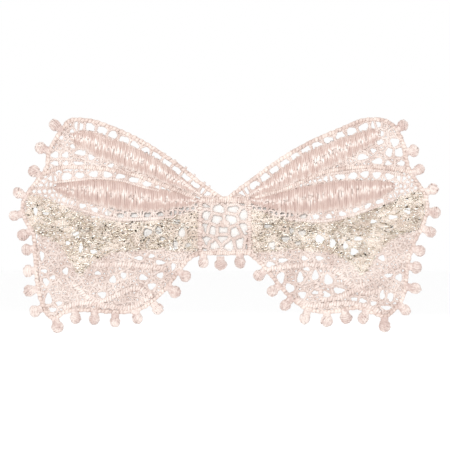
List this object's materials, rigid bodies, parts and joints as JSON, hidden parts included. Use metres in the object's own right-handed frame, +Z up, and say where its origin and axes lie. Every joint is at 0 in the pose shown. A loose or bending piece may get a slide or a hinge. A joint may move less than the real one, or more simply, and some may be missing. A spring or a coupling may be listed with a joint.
{
  "type": "hair bow clip",
  "caption": "Flat guipure-lace bow with satin leaves, metallic thread bands and picot edges, sewn to a ribbon-lined sprung hair clip.",
  "frame": {"origin": "middle of the clip's closed mouth, where the hair is held", "axes": "bow upright in the XZ plane: +X to the wearer's left as seen from the front (viewer's right), -Y out of the lace's face, +Y towards the head, +Z up"},
  "size_m": [0.1006, 0.0133, 0.05],
  "materials": {
    "satin_thread": "rayon satin stitch, soft sheen",
    "cord_thread": "rayon thread wound round a core",
    "net_thread": "twisted rayon threads",
    "metallic_thread": "champagne and silver metallised thread",
    "picot_thread": "rayon thread wound into bobbles",
    "stitch_thread": "sewing thread",
    "white_felt": "pressed felt",
    "white_ribbon": "satin ribbon with woven edges",
    "clip_steel": "nickel-plated pressed sheet",
    "pin_steel": "plain steel rivet",
    "spring_steel": "drawn spring wire"
  },
  "bodies": {
    "bow": {"left_edge_cord": "cord_thread", "left_upper_net": "net_thread", "left_upper_leaf": "satin_thread", "left_vein_cord": "cord_thread", "left_middle_ladder": "net_thread", "left_lower_leaf": "satin_thread", "left_lower_ladder": "net_thread", "left_metallic_band": "metallic_thread", "left_lower_net": "net_thread", "left_picots": "picot_thread", "right_edge_cord": "cord_thread", "right_upper_net": "net_thread", "right_upper_leaf": "satin_thread", "right_vein_cord": "cord_thread", "right_middle_ladder": "net_thread", "right_lower_leaf": "satin_thread", "right_lower_ladder": "net_thread", "right_metallic_band": "metallic_thread", "right_lower_net": "net_thread", "right_picots": "picot_thread", "knot_net": "net_thread", "knot_frame": "cord_thread", "knot_picots": "picot_thread", "tacking_stitches": "stitch_thread", "felt_pad": "white_felt", "ribbon_lining": "white_ribbon", "upper_jaw": "clip_steel", "hinge_pin": "pin_steel", "torsion_spring": "spring_steel"},
    "jaw": {"lower_jaw": "clip_steel"}
  },
  "joints": [
    {"name": "jaw_hinge", "type": "hinge", "parent": "bow", "child": "jaw", "pos_m": [0.009, 0, 0], "axis": [0, 0, -1], "range_deg": [0, 35], "stiffness_Nm_per_rad": 0.06, "springref_deg": -34.38, "deforming": ["torsion_spring"]}
  ]
}
